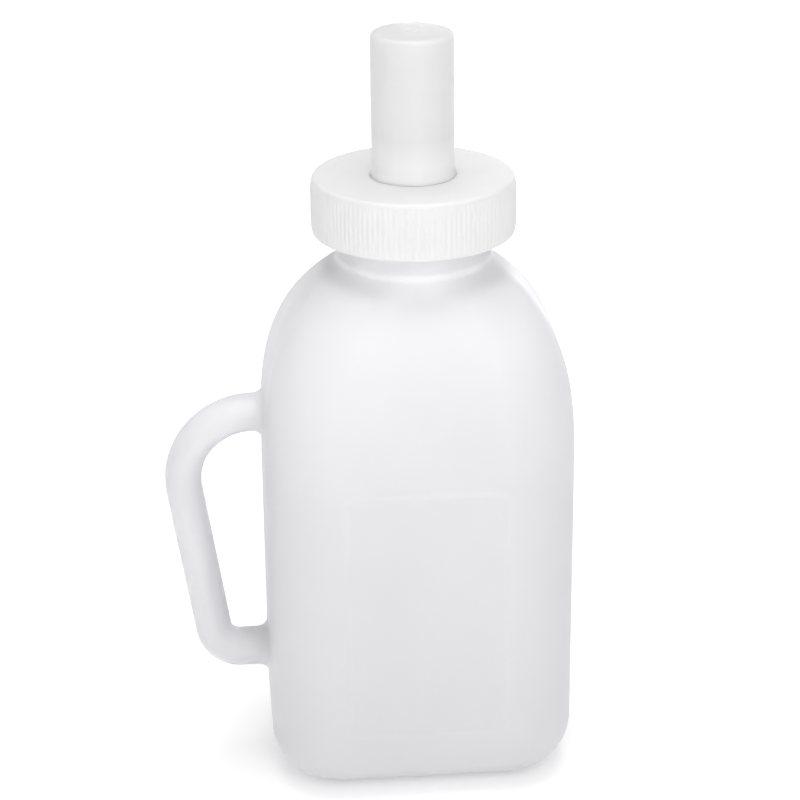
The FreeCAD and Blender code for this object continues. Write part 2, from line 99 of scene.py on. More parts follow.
HANDLE_TOP_Z = 152.7 * MM
HANDLE_BOTTOM_Z = 47.5 * MM
HANDLE_LOWER_REACH = 21 * MM
GRIP_LEAN = math.radians(8.6)
HANDLE_TOP_BEND = 28.4 * MM
HANDLE_BOTTOM_BEND = 11 * MM
HANDLE_HALF_THICK = 7.2 * MM
HANDLE_HALF_DEPTH = 10 * MM
HANDLE_ROOT = 7 * MM
HANDLE_BLEND = 5 * MM

PARTING_LINE_HEIGHT = 0.16 * MM
PARTING_LINE_WIDTH = 0.7 * MM
PARTING_LINE_FADE = 5 * MM
PINCH_OFF_HEIGHT = 0.6 * MM
PINCH_OFF_WIDTH = 1.0 * MM

# ---- Cap ---------------------------------------------------------------------------------------------
CAP_PLATE = 2.6 * MM
CAP_OUTER_SKIRT = 2.2 * MM
CAP_INNER_SKIRT = 2.0 * MM
CAP_INNER_LIFT = 1.0 * MM
CAP_TOP_EDGE = 1.8 * MM
CAP_FOOT_EDGE = 0.5 * MM
CAP_SOFT_EDGE = 0.35 * MM
CAP_HOLE_CLEARANCE = 0.35 * MM
CAP_HOLE_EDGE = 0.3 * MM
CAP_WEBS = 12
CAP_WEB_THICKNESS = 1.2 * MM
CAP_WEB_LIFT = 5 * MM
CAP_WEB_EDGE = 0.2 * MM
RIB_COUNT = 120
RIB_COLUMNS = 6
RIB_HEIGHT = 0.45 * MM
RIB_FOOT_LAND = 1.4 * MM
RIB_TOP_LAND = 3.0 * MM
RIB_FADE = 0.8 * MM
RIB_ROUNDNESS = 0.8

# ---- Teat --------------------------------------------------------------------------------------------
TEAT_RADIUS = 16.1 * MM
TEAT_WALL = 2.8 * MM
TEAT_TIP_WALL = 3.4 * MM
TEAT_TIP_EDGE = 2.1 * MM
TEAT_TIP_CROWN = 0.7 * MM
TEAT_FLANGE = 2.6 * MM
TEAT_FLARE = 0.7 * MM
TEAT_FLARE_HEIGHT = 3.0 * MM
TEAT_FLARE_EDGE = 0.06 * MM
TEAT_FLARE_GAP = 0.01 * MM
TEAT_SOFT_EDGE = 0.5 * MM
TEAT_COLUMNS = 144
TEAT_SHARP_ANGLE = math.radians(40)
SLIT_LENGTH = 9 * MM
SLIT_WIDTH = 0.35 * MM
HOUSING_REACH = 12 * MM
# Height over which the teat's painted lighter foot fades into its painted darker upper part.
TEAT_PAINTED_SHADE_FADE = 10 * MM
SLIT_ANGLES = (math.radians(45), math.radians(135))

# ---- Thread ------------------------------------------------------------------------------------------
THREAD_PITCH = 6 * MM
THREAD_DEPTH = 1.8 * MM
THREAD_HALF_ROOT = 1.5 * MM
THREAD_HALF_CREST = 0.6 * MM
THREAD_SINK = 0.4 * MM
THREAD_CLEARANCE = 0.35 * MM
THREAD_FLANK_GAP = 0.2 * MM
NECK_THREAD_LAND = 2.6 * MM
NECK_THREAD_TURNS = 1.4
CAP_THREAD_TURNS = 1.0
THREAD_FADE = math.radians(25)
THREAD_STEPS = 96
THREAD_EDGE = 0.25 * MM

# ---- Mesh steps and limits ---------------------------------------------------------------------------
SKIN_CELL = 1.35 * MM
CAVITY_CELL = 2.4 * MM
CAVITY_HEADROOM = 10 * MM
NEWTON_STEPS = 4
# The next two are shares of a cell.
SLOPE_PROBE = 0.05
LONGEST_MOVE = 0.5
LEAST_SLOPE_SQUARED = 0.05
LEAST_STEEPNESS = 1e-6
LEAST_LENGTH = 1e-9
ROW_STEP = 2.5 * MM
ARC_ROWS = 6
SOFTEN_ANGLE = math.radians(30)
SOFTEN_SEGMENTS = 2
SAME_PLACE = 0.001 * MM
NO_LENGTH = 0.0001 * MM


# ---- Distance fields ---------------------------------------------------------------------------------
def rounded_box_2d(x, y, half_x, half_y, corner):
    """Distance from a rectangle with rounded corners, negative inside."""
    over_x = np.abs(x) - (half_x - corner)
    over_y = np.abs(y) - (half_y - corner)
    outside = np.hypot(np.maximum(over_x, 0), np.maximum(over_y, 0))
    return outside + np.minimum(np.maximum(over_x, over_y), 0) - corner


def smooth_step(value):
    value = np.clip(value, 0, 1)
    return value * value * (3 - 2 * value)


def smooth_union(a, b, width):
    """The nearer of two distances, with a fillet where they are alike."""
    share = np.clip(0.5 + 0.5 * (b - a) / width, 0, 1)
    return b + (a - b) * share - width * share * (1 - share)


def rounded_both(a, b, radius):
    """Inside both fields, with a round edge where they meet."""
    outside = np.hypot(np.maximum(a + radius, 0), np.maximum(b + radius, 0))
    return outside + np.minimum(np.maximum(a, b) + radius, 0) - radius


def body_field(x, y, z):
    """The body and its shoulder, without handle and neck."""
    height = SHOULDER_TOP - SHOULDER_START
    rise = np.clip((z - SHOULDER_START) / height, 0, 1)
    left = np.clip(1 - rise**SHOULDER_FULLNESS, LEAST_LEFT, 1)
    share = left**SHOULDER_CROWN
    half_x = CROWN_RADIUS + (HALF_X - CROWN_RADIUS) * share
    half_y = CROWN_RADIUS + (HALF_Y - CROWN_RADIUS) * share
    corner = CORNER_RADIUS + (CROWN_RADIUS - CORNER_RADIUS) * rise**2
    across = rounded_box_2d(x, y, half_x, half_y, np.minimum(corner, half_y))
    share_slope = SHOULDER_CROWN * left ** (SHOULDER_CROWN - 1) * SHOULDER_FULLNESS
    share_slope = share_slope * rise ** (SHOULDER_FULLNESS - 1) / height
    reach = np.where(np.abs(x) * HALF_Y > np.abs(y) * HALF_X, HALF_X, HALF_Y) - CROWN_RADIUS
    slope = np.minimum(reach * share_slope, STEEPEST_SLOPE)
    across = across / np.sqrt(1 + slope**2)
    hollow = -rounded_box_2d(x, y, PUSH_UP_HALF_X, PUSH_UP_HALF_Y, PUSH_UP_CORNER)
    base = PUSH_UP_DEPTH * smooth_step(hollow / PUSH_UP_SLOPE + 0.5) - z
    return rounded_both(across, base, BASE_RADIUS)


def panel_press(x, y, z):
    """How far the label panels press the front and back walls in."""
    up = z - PANEL_CENTRE_Z
    inward = -rounded_box_2d(x, up, PANEL_HALF_WIDTH, PANEL_HALF_HEIGHT, PANEL_CORNER)
    on_wall = smooth_step((np.abs(y) - HALF_Y / 2) / (HALF_Y / 4))
    return PANEL_DEPTH * smooth_step(inward / PANEL_SLOPE) * on_wall


def handle_path():
    """The handle's centre line in the X-Z plane: straight runs joined by tangent arcs."""
    lower_x = -HALF_X - HANDLE_LOWER_REACH
    upper_x = lower_x - math.tan(GRIP_LEAN) * (HANDLE_TOP_Z - HANDLE_BOTTOM_Z)
    root_x = -HALF_X + HANDLE_ROOT
    points = [(root_x, HANDLE_TOP_Z), (upper_x, HANDLE_TOP_Z)]
    points += [(lower_x, HANDLE_BOTTOM_Z), (root_x, HANDLE_BOTTOM_Z)]
    return [Vector(p) for p in points], [HANDLE_TOP_BEND, HANDLE_BOTTOM_BEND]


def distance_to_run(x, z, start, end):
    along = end - start
    share = ((x - start.x) * along.x + (z - start.y) * along.y) / along.length_squared
    share = np.clip(share, 0, 1)
    return np.hypot(x - start.x - share * along.x, z - start.y - share * along.y)


def distance_to_path(x, z):
    """Distance in the X-Z plane from the handle's centre line."""
    points, radii = handle_path()
    nearest = np.full(np.shape(x), np.inf)
    start = points[0]
    for before, point, after, radius in zip(points, points[1:], points[2:], radii):
        back = (before - point).normalized()
        ahead = (after - point).normalized()
        half_angle = back.angle(ahead) / 2
        tangent = radius / math.tan(half_angle)
        arc_start = point + back * tangent
        arc_end = point + ahead * tangent
        inward = (back + ahead).normalized()
        centre = point + inward * radius / math.sin(half_angle)
        nearest = np.minimum(nearest, distance_to_run(x, z, start, arc_start))
        from_x = x - centre.x
        from_z = z - centre.y
        length = np.hypot(from_x, from_z)
        cosine = -(from_x * inward.x + from_z * inward.y) / np.maximum(length, LEAST_LENGTH)
        in_reach = cosine >= math.cos(math.pi / 2 - half_angle)
        to_arc = np.where(in_reach, np.abs(length - radius), np.inf)
        nearest = np.minimum(nearest, to_arc)
        start = arc_end
    return np.minimum(nearest, distance_to_run(x, z, start, points[-1]))


def handle_field(x, y, z):
    """The handle as an oval tube along its centre line."""
    off_line = distance_to_path(x, z)
    scaled = np.hypot(off_line / HANDLE_HALF_THICK, y / HANDLE_HALF_DEPTH)
    steep = np.hypot(off_line / HANDLE_HALF_THICK**2, y / HANDLE_HALF_DEPTH**2)
    return scaled * (scaled - 1) / np.maximum(steep, LEAST_STEEPNESS)


def parting_line(x, y, z):
    """The thin ridge where the two halves of the mould met, on the handle's plane. It fades out over the
    ring that the bottle stands on, and comes back thicker in the base's hollow, where the parison was
    pinched off."""
    ridge = np.exp(-((y / PARTING_LINE_WIDTH) ** 2))
    on_side = smooth_step((np.abs(x) - NECK_RADIUS) / PARTING_LINE_FADE)
    over_base = smooth_step((z - PARTING_LINE_FADE) / PARTING_LINE_FADE)
    in_hollow = smooth_step((PUSH_UP_HALF_X - PUSH_UP_SLOPE / 2 - np.abs(x)) / PARTING_LINE_FADE)
    pinched = np.exp(-((y / PINCH_OFF_WIDTH) ** 2)) * in_hollow * (z < BASE_RADIUS / 2)
    return PARTING_LINE_HEIGHT * ridge * on_side * over_base + PINCH_OFF_HEIGHT * pinched


def moulded_field(x, y, z):
    """Body, panels and handle: what the inside follows too."""
    body = body_field(x, y, z) + panel_press(x, y, z)
    return smooth_union(body, handle_field(x, y, z), HANDLE_BLEND)


def skin_field(x, y, z):
    """The bottle's whole outside."""
    shape = moulded_field(x, y, z) - parting_line(x, y, z)
    neck = rounded_both(np.hypot(x, y) - NECK_RADIUS, z - RIM_Z, RIM_EDGE)
    neck = np.maximum(neck, SHOULDER_TOP - NECK_SINK - z)
    shape = np.maximum(shape, z - SHOULDER_TOP)
    return smooth_union(shape, neck, NECK_BLEND)


def cavity_field(x, y, z):
    """The space inside, up to the neck's bore."""
    shape = np.maximum(moulded_field(x, y, z) + WALL, z - SHOULDER_TOP + WALL)
    bore = np.hypot(x, y) - (NECK_RADIUS - NECK_WALL)
    bore = np.maximum(bore, SHOULDER_TOP - BORE_SINK - z)
    bore = np.maximum(bore, z - RIM_Z - BORE_OVERRUN)
    return smooth_union(shape, bore, BORE_BLEND)


# ---- Meshes ------------------------------------------------------------------------------------------
def mesh_object(name, points, faces):
    mesh = bpy.data.meshes.new(name)
    mesh.from_pydata([tuple(p) for p in points], [], [tuple(f) for f in faces])
    mesh.validate()
    mesh.update()
    mesh.polygons.foreach_set("use_smooth", [True] * len(mesh.polygons))
    piece = bpy.data.objects.new(name, mesh)
    bpy.context.scene.collection.objects.link(piece)
    return piece


def grid_axes(low, high, cell):
    """Evenly spaced places along each axis, laid out from the middle of the box."""
    axes = []
    for start, end in zip(low, high):
        count = int(math.ceil((end - start) / cell)) + 1
        middle = (start + end) / 2
        axes.append(middle + cell * (np.arange(count) - (count - 1) / 2))
    return axes


def crossed_cells(inside):
    """The grid cells with corners on both sides of the surface, and each one's number on the grid."""
    corner_sum = np.zeros([n - 1 for n in inside.shape], int)
    for dx in (0, 1):
        for dy in (0, 1):
            for dz in (0, 1):
                sx, sy, sz = (slice(d, d - 1 or None) for d in (dx, dy, dz))
                corner_sum += inside[sx, sy, sz]
    crossed = (corner_sum > 0) & (corner_sum < 8)
    number = np.full(crossed.shape, -1)
    number[crossed] = np.arange(crossed.sum())
    return np.argwhere(crossed), number


def middle_of_crossings(values, cells):
    """For each cell, the mean of the places where its edges cross the surface, in grid steps."""
    total = np.zeros((len(cells), 3))
    hits = np.zeros(len(cells))
    for axis in range(3):
        step = np.eye(3, dtype=int)[axis]
        others = [np.eye(3, dtype=int)[k] for k in range(3) if k != axis]
        for p in (0, 1):
            for q in (0, 1):
                a = cells + p * others[0] + q * others[1]
                b = a + step
                value_a = values[tuple(a.T)]
                value_b = values[tuple(b.T)]
                change = (value_a < 0) != (value_b < 0)
                share = np.where(change, value_a / np.where(change, value_a - value_b, 1), 0)
                point = a + share[:, None] * step
                total += np.where(change[:, None], point, 0)
                hits += change
    return total / hits[:, None]


def moved_onto_surface(field, points, cell):
    """Moves points along the field's gradient until the field is nearly zero there."""
    reach = SLOPE_PROBE * cell
    for _ in range(NEWTON_STEPS):
        here = field(*points.T)
        slopes = []
        for k in range(3):
            aside = reach * np.eye(3)[k]
            slopes.append((field(*(points + aside).T) - field(*(points - aside).T)) / (2 * reach))
        slope = np.stack(slopes, axis=1)
        steep = np.maximum((slope**2).sum(axis=1), LEAST_SLOPE_SQUARED)
        move = -(here / steep)[:, None] * slope
        longest = np.maximum(np.linalg.norm(move, axis=1), LEAST_LENGTH)
        limit = np.minimum(1, LONGEST_MOVE * cell / longest)
        points = points + move * limit[:, None]
    return points


def quads_between(inside, number):
    """A quad for each grid edge that the surface crosses, through the points of the four cells round it."""
    faces = []
    for axis in range(3):
        b, c = (axis + 1) % 3, (axis + 2) % 3
        ahead = [slice(None)] * 3
        behind = [slice(None)] * 3
        ahead[axis] = slice(1, None)
        behind[axis] = slice(None, -1)
        change = inside[tuple(ahead)] != inside[tuple(behind)]
        edges = np.argwhere(change)
        keep = (edges[:, b] > 0) & (edges[:, c] > 0)
        keep &= (edges[:, b] < inside.shape[b] - 1) & (edges[:, c] < inside.shape[c] - 1)
        edges = edges[keep]
        around = []
        for back_b, back_c in ((1, 1), (0, 1), (0, 0), (1, 0)):
            at_cell = edges.copy()
            at_cell[:, b] -= back_b
            at_cell[:, c] -= back_c
            around.append(number[tuple(at_cell.T)])
        quad = np.stack(around, axis=1)
        leaving = inside[tuple(edges.T)]
        faces.append(np.where(leaving[:, None], quad, quad[:, ::-1]))
    return np.concatenate(faces)


def field_mesh(name, field, low, high, cell):
    """A closed quad mesh of the surface where a field is zero. Each grid cell that the surface crosses gets
    one point, which is then moved onto the surface."""
    axes = grid_axes(low, high, cell)
    values = field(*np.broadcast_arrays(*np.meshgrid(*axes, indexing="ij", sparse=True)))
    inside = values < 0
    cells, number = crossed_cells(inside)
    at = middle_of_crossings(values, cells)
    points = np.stack([axes[k][0] + at[:, k] * cell for k in range(3)], axis=1)
    points = moved_onto_surface(field, points, cell)
    return mesh_object(name, points, quads_between(inside, number))


def cut(piece, tool):
    """Cuts a tool out of a piece and throws the tool away."""
    modifier = piece.modifiers.new("cut", "BOOLEAN")
    modifier.operation = "DIFFERENCE"
    modifier.solver = "EXACT"
    modifier.object = tool
    apply_modifiers(piece)
    bpy.data.objects.remove(tool)
    return piece


def make_bottle():
    margin = 2 * SKIN_CELL
    low = [c - margin for c in bottle_low]
    high = [c + margin for c in bottle_high]
    skin = field_mesh("bottle_shell", skin_field, low, high, SKIN_CELL)
    cavity_high = [*high[:2], RIM_Z + CAVITY_HEADROOM]
    cavity = field_mesh("cavity", cavity_field, low, cavity_high, CAVITY_CELL)
    return cut(skin, cavity)


def filleted_outline(corners):
    """A closed outline of (r, z) rows from corners (r, z, fillet), with arcs at the corners and the straight
    runs divided into short steps."""
    ends = []
    count = len(corners)
    for index, (r, z, fillet) in enumerate(corners):
        point = Vector((r, z))
        if fillet == 0:
            ends.append([point])
            continue
        back = (Vector(corners[index - 1][:2]) - point).normalized()
        ahead = (Vector(corners[(index + 1) % count][:2]) - point).normalized()
        half_angle = back.angle(ahead) / 2
        centre = point + (back + ahead).normalized() * fillet / math.sin(half_angle)
        first = point + back * fillet / math.tan(half_angle) - centre
        last = point + ahead * fillet / math.tan(half_angle) - centre
        turn = first.angle_signed(last)
        arc = []
        for step in range(ARC_ROWS + 1):
            angle = -turn * step / ARC_ROWS
            cosine, sine = math.cos(angle), math.sin(angle)
            spoke = Vector((first.x * cosine - first.y * sine, first.x * sine + first.y * cosine))
            arc.append(centre + spoke)
        ends.append(arc)
    rows = []
    for index, arc in enumerate(ends):
        rows += arc
        run = ends[(index + 1) % count][0] - arc[-1]
        steps = max(1, math.ceil(run.length / ROW_STEP))
        rows += [arc[-1] + run * step / steps for step in range(1, steps)]
    return rows


def turned_mesh(name, rows, columns, bulge=None):
    """A closed mesh made by turning rows of (r, z) round Z. bulge(angle, r, z) adds to a row's radius."""
    angles = np.linspace(0, 2 * math.pi, columns, endpoint=False)
    radius = np.array([row.x for row in rows])[:, None] + 0 * angles
    height = np.array([row.y for row in rows])[:, None] + 0 * angles
    if bulge is not None:
        radius = radius + bulge(angles[None, :], radius, height)
    points = np.stack([radius * np.cos(angles), radius * np.sin(angles), height], axis=-1)
    index = np.arange(points.shape[0] * columns).reshape(-1, columns)
    below = np.roll(index, -1, axis=0)
    faces = np.stack([index, below, np.roll(below, -1, axis=1), np.roll(index, -1, axis=1)], axis=-1)
    piece = mesh_object(name, points.reshape(-1, 3), faces.reshape(-1, 4))
    return clean(piece)


def clean(piece):
    """Joins coincident points, drops faces without area, and turns every face outwards."""
    mesh = bmesh.new()
    mesh.from_mesh(piece.data)
    bmesh.ops.remove_doubles(mesh, verts=mesh.verts, dist=SAME_PLACE)
    bmesh.ops.dissolve_degenerate(mesh, edges=mesh.edges, dist=NO_LENGTH)
    bmesh.ops.recalc_face_normals(mesh, faces=mesh.faces)
    mesh.to_mesh(piece.data)
    mesh.free()
    return piece


def join(piece, *others):
    """Puts other pieces' meshes into the first piece."""
    mesh = bmesh.new()
    for part in (piece, *others):
        mesh.from_mesh(part.data)
    mesh.to_mesh(piece.data)
    mesh.free()
    for part in others:
        bpy.data.objects.remove(part)
    piece.data.polygons.foreach_set("use_smooth", [True] * len(piece.data.polygons))
    return piece


def thread_mesh(name, wall_radius, outward, low_z, turns, start):
    """A helical ridge with a trapezium section, rooted in a wall, that runs out at both ends."""
    steps = int(THREAD_STEPS * turns)
    angles = np.linspace(0, 2 * math.pi * turns, steps + 1)
    fade = smooth_step(np.minimum(angles, angles[-1] - angles) / THREAD_FADE)
    depth = THREAD_DEPTH * fade - THREAD_SINK / 2 * (1 - fade)
    rings = []
    for side, at_crest in ((-1, 0), (-1, 1), (1, 1), (1, 0)):
        half = THREAD_HALF_CREST if at_crest else THREAD_HALF_ROOT
        reach = depth if at_crest else np.full_like(depth, -THREAD_SINK)
        radius = wall_radius + outward * reach
        height = low_z + THREAD_PITCH * angles / (2 * math.pi) + side * half
        turned_by = angles + start
        rings.append(np.stack([radius * np.cos(turned_by), radius * np.sin(turned_by), height], axis=-1))
    points = np.stack(rings, axis=1)
    index = np.arange(points.shape[0] * 4).reshape(-1, 4)
    ahead = np.roll(index, -1, axis=1)
    sides = np.stack([index[:-1], ahead[:-1], ahead[1:], index[1:]], axis=-1).reshape(-1, 4)
    faces = [*sides, index[0], index[-1][::-1]]
    piece = clean(mesh_object(name, points.reshape(-1, 3), faces))
    soften(piece, THREAD_EDGE)
    return piece


def soften(piece, width):
    """Rounds a piece's sharp edges."""
    modifier = piece.modifiers.new("soften", "BEVEL")
    modifier.width = width
    modifier.segments = SOFTEN_SEGMENTS
    modifier.limit_method = "ANGLE"
    modifier.angle_limit = SOFTEN_ANGLE
    apply_modifiers(piece)


def apply_modifiers(piece):
    bpy.context.view_layer.update()
    evaluated = piece.evaluated_get(bpy.context.evaluated_depsgraph_get())
    mesh = bpy.data.meshes.new_from_object(evaluated)
    piece.modifiers.clear()
    piece.data = mesh


def block(name, low, high):
    """A plain box mesh, as a cutting tool or as a web to be rounded."""
    corners = [(x, y, z) for x in (low[0], high[0]) for y in (low[1], high[1]) for z in (low[2], high[2])]
    faces = [(0, 1, 3, 2), (4, 6, 7, 5), (0, 4, 5, 1), (2, 3, 7, 6), (0, 2, 6, 4), (1, 5, 7, 3)]
    return clean(mesh_object(name, corners, faces))


# ---- Cap ---------------------------------------------------------------------------------------------
def rib_bulge(angle, radius, height):
    """Rounded grip ribs on the outer skirt, which fade out at both ends."""
    on_skirt = radius > cap_high.x - CAP_OUTER_SKIRT / 2
    low = height - cap_low.z - RIB_FOOT_LAND
    high = cap_high.z - RIB_TOP_LAND - height
    fade = smooth_step(np.minimum(low, high) / RIB_FADE + 0.5)
    rib = 0.5 + 0.5 * np.cos(angle * RIB_COUNT)
    return np.where(on_skirt, RIB_HEIGHT * fade * rib**RIB_ROUNDNESS, 0)


def make_cap():
    outer = cap_high.x - RIB_HEIGHT
    skirt_inside = cap_high.x - CAP_OUTER_SKIRT
    bore = NECK_RADIUS + THREAD_DEPTH + THREAD_CLEARANCE
    inner = bore + CAP_INNER_SKIRT
    inner_foot = cap_low.z + CAP_INNER_LIFT
    plate_low = cap_high.z - CAP_PLATE
    hole = TEAT_RADIUS + CAP_HOLE_CLEARANCE
    rows = filleted_outline(
        [
            (hole, cap_high.z, CAP_HOLE_EDGE),
            (outer, cap_high.z, CAP_TOP_EDGE),
            (outer, cap_low.z, CAP_FOOT_EDGE),
            (skirt_inside, cap_low.z, CAP_SOFT_EDGE),
            (skirt_inside, plate_low, CAP_SOFT_EDGE),
            (inner, plate_low, CAP_SOFT_EDGE),
            (inner, inner_foot, CAP_SOFT_EDGE),
            (bore, inner_foot, CAP_SOFT_EDGE),
            (bore, plate_low, CAP_SOFT_EDGE),
            (hole, plate_low, CAP_SOFT_EDGE),
        ]
    )
    cap = turned_mesh("screw_cap_shell", rows, RIB_COUNT * RIB_COLUMNS, rib_bulge)
    parts = []
    for index in range(CAP_WEBS):
        web = block(
            "web",
            (inner - CAP_INNER_SKIRT / 2, -CAP_WEB_THICKNESS / 2, cap_low.z + CAP_WEB_LIFT),
            (skirt_inside + CAP_OUTER_SKIRT / 2, CAP_WEB_THICKNESS / 2, plate_low + CAP_PLATE / 2),
        )
        web.data.transform(Matrix.Rotation(2 * math.pi * index / CAP_WEBS, 4, "Z"))
        soften(web, CAP_WEB_EDGE)
        parts.append(web)
    drop = THREAD_HALF_ROOT + THREAD_HALF_CREST + THREAD_FLANK_GAP
    low_z = neck_thread_low() - drop + THREAD_PITCH / 2
    parts.append(thread_mesh("ridge", bore, -1, low_z, CAP_THREAD_TURNS, math.pi))
    return join(cap, *parts)


def neck_thread_low():
    return RIM_Z - NECK_THREAD_LAND - NECK_THREAD_TURNS * THREAD_PITCH


# ---- Teat --------------------------------------------------------------------------------------------
def make_teat():
    bore = TEAT_RADIUS - TEAT_WALL
    root_z = teat_low.z
    flange_z = root_z + TEAT_FLANGE
    flange = teat_high.x
    top_z = teat_high.z
    bore_top = top_z - TEAT_TIP_WALL
    flare_z = cap_high.z + TEAT_FLARE_GAP
    rim_z = top_z - TEAT_TIP_CROWN
    rows = filleted_outline(
        [
            (0, bore_top, 0),
            (bore, bore_top, TEAT_TIP_EDGE),
            (bore, root_z, TEAT_SOFT_EDGE),
            (flange, root_z, TEAT_SOFT_EDGE),
            (flange, flange_z, TEAT_SOFT_EDGE),
            (TEAT_RADIUS, flange_z, 0),
            (TEAT_RADIUS, flare_z, 0),
            (TEAT_RADIUS + TEAT_FLARE, flare_z, TEAT_FLARE_EDGE),
            (TEAT_RADIUS, flare_z + TEAT_FLARE_HEIGHT, 2 * TEAT_FLARE_HEIGHT),
            (TEAT_RADIUS, rim_z, TEAT_TIP_EDGE),
            (TEAT_RADIUS / 2, top_z - TEAT_TIP_CROWN / 4, 0),
            (0, top_z, 0),
        ]
    )
    teat = turned_mesh("teat_body", rows, TEAT_COLUMNS)
    for angle in SLIT_ANGLES:
        slit = block(
            "slit",
            (-SLIT_LENGTH / 2, -SLIT_WIDTH / 2, bore_top - TEAT_TIP_WALL / 2),
            (SLIT_LENGTH / 2, SLIT_WIDTH / 2, top_z + TEAT_TIP_WALL / 2),
        )
        slit.data.transform(Matrix.Rotation(angle, 4, "Z"))
        cut(teat, slit)
    teat.data.set_sharp_from_angle(angle=TEAT_SHARP_ANGLE)
    return teat


# ---- Materials ---------------------------------------------------------------------------------------
POLYETHYLENE_COLOR = (0.86, 0.856, 0.885)
CAP_COLOR = (0.72, 0.72, 0.72)
VALVE_COLOR = (0.72, 0.72, 0.73)
BALL_COLOR = (0.8, 0.8, 0.79)
TEAT_COLOR = (0.835, 0.835, 0.835)
SEAL_COLOR = (0.74, 0.74, 0.73)
PAPER_COLOR = (0.91, 0.91, 0.91)
WALL_REACH = 2.4 * MM
TUBE_REACH = 14 * MM
# Heights for the bottle's painted shading: it is painted darker towards the base, and painted lighter at the
# neck, where the cap shades it.
LOWER_BODY_SHADE_Z = 60 * MM
NECK_LIGHT_FADE = 12 * MM
HEIGHT_SWAY = 0.04
# Most of a noise pattern lies between these two.
PATTERN_LOW = 0.3
PATTERN_HIGH = 0.7
# The Mix node's colour sockets are told apart by number, because their names repeat.
MIX_COLOR_INPUTS = (0, 6, 7)
MIX_COLOR_OUTPUT = 2
RAMP_MIDDLE = 0.5


def new_material(name, color, roughness, subsurface, reach):
    """A principled material and its shader. reach is how far light spreads inside, in metres."""
    material = bpy.data.materials.new(name)
    material.use_nodes = True
    shader = material.node_tree.nodes["Principled BSDF"]
    shader.inputs["Base Color"].default_value = (*color, 1)
    shader.inputs["Roughness"].default_value = roughness
    shader.inputs["Subsurface Weight"].default_value = subsurface
    shader.inputs["Subsurface Radius"].default_value = (1, 1, 1)
    shader.inputs["Subsurface Scale"].default_value = reach
    shader.subsurface_method = "BURLEY"
    return material, shader


def noise(material, scale, detail, stretch=(1, 1, 1)):
    """A noise pattern in the piece's own place, in metres. stretch under 1 draws it out along an axis."""
    nodes, links = material.node_tree.nodes, material.node_tree.links
    place = nodes.new("ShaderNodeTexCoord")
    mapping = nodes.new("ShaderNodeMapping")
    mapping.inputs["Scale"].default_value = stretch
    pattern = nodes.new("ShaderNodeTexNoise")
    pattern.inputs["Scale"].default_value = scale
    pattern.inputs["Detail"].default_value = detail
    links.new(place.outputs["Object"], mapping.inputs["Vector"])
    links.new(mapping.outputs["Vector"], pattern.inputs["Vector"])
    return pattern.outputs["Fac"]


def ramp_of(material, fac, stops):
    """A colour ramp with the given (position, colour) stops, driven by a pattern."""
    ramp = material.node_tree.nodes.new("ShaderNodeValToRGB")
    elements = ramp.color_ramp.elements
    for _ in range(len(stops) - 2):
        elements.new(RAMP_MIDDLE)
    for element, (position, color) in zip(elements, stops):
        element.position = position
        element.color = (*color, 1)
    material.node_tree.links.new(fac, ramp.inputs["Fac"])
    return ramp.outputs["Color"]


def painted_shading_by_height(material, fac, stops):
    """A grey of painted light and shade that follows (height, share) stops on the piece. The pattern makes
    its steps uneven.
    """
    nodes, links = material.node_tree.nodes, material.node_tree.links
    low, high = stops[0][0], stops[-1][0]
    place = nodes.new("ShaderNodeTexCoord")
    split = nodes.new("ShaderNodeSeparateXYZ")
    height = nodes.new("ShaderNodeMapRange")
    height.inputs["From Min"].default_value = low
    height.inputs["From Max"].default_value = high
    sway = nodes.new("ShaderNodeMapRange")
    sway.inputs["To Min"].default_value = -HEIGHT_SWAY
    sway.inputs["To Max"].default_value = HEIGHT_SWAY
    total = nodes.new("ShaderNodeMath")
    links.new(place.outputs["Object"], split.inputs["Vector"])
    links.new(split.outputs["Z"], height.inputs["Value"])
    links.new(fac, sway.inputs["Value"])
    links.new(height.outputs["Result"], total.inputs[0])
    links.new(sway.outputs["Result"], total.inputs[1])
    greys = [((stop - low) / (high - low), (share, share, share)) for stop, share in stops]
    return ramp_of(material, total.outputs["Value"], greys)


def tinted(material, shader, fac, color, spread, stops=None):
    """Drives the base colour: clouds of the pattern, down to 1 - spread of it, and painted light and shade
    by height.
    """
    links = material.node_tree.links
    darker = [c * (1 - spread) for c in color]
    base = ramp_of(material, fac, [(PATTERN_LOW, darker), (PATTERN_HIGH, color)])
    if stops is not None:
        mix = material.node_tree.nodes.new("ShaderNodeMix")
        mix.data_type = "RGBA"
        mix.blend_type = "MULTIPLY"
        factor, first, second = (mix.inputs[index] for index in MIX_COLOR_INPUTS)
        factor.default_value = 1
        links.new(base, first)
        links.new(painted_shading_by_height(material, fac, stops), second)
        base = mix.outputs[MIX_COLOR_OUTPUT]
    links.new(base, shader.inputs["Base Color"])


def varied(material, fac, socket, low, high):
    """Drives a socket between two values."""
    spread = material.node_tree.nodes.new("ShaderNodeMapRange")
    spread.inputs["From Min"].default_value = PATTERN_LOW
    spread.inputs["From Max"].default_value = PATTERN_HIGH
    spread.inputs["To Min"].default_value = low
    spread.inputs["To Max"].default_value = high
    material.node_tree.links.new(fac, spread.inputs["Value"])
    material.node_tree.links.new(spread.outputs["Result"], socket)


def bumped(material, shader, layers):
    """Adds bump layers, each (pattern, height in metres)."""
    links = material.node_tree.links
    normal = None
    for fac, height in layers:
        bump = material.node_tree.nodes.new("ShaderNodeBump")
        bump.inputs["Strength"].default_value = 1.0
        bump.inputs["Distance"].default_value = height
        links.new(fac, bump.inputs["Height"])
        if normal is not None:
            links.new(normal, bump.inputs["Normal"])
        normal = bump.outputs["Normal"]
    links.new(normal, shader.inputs["Normal"])


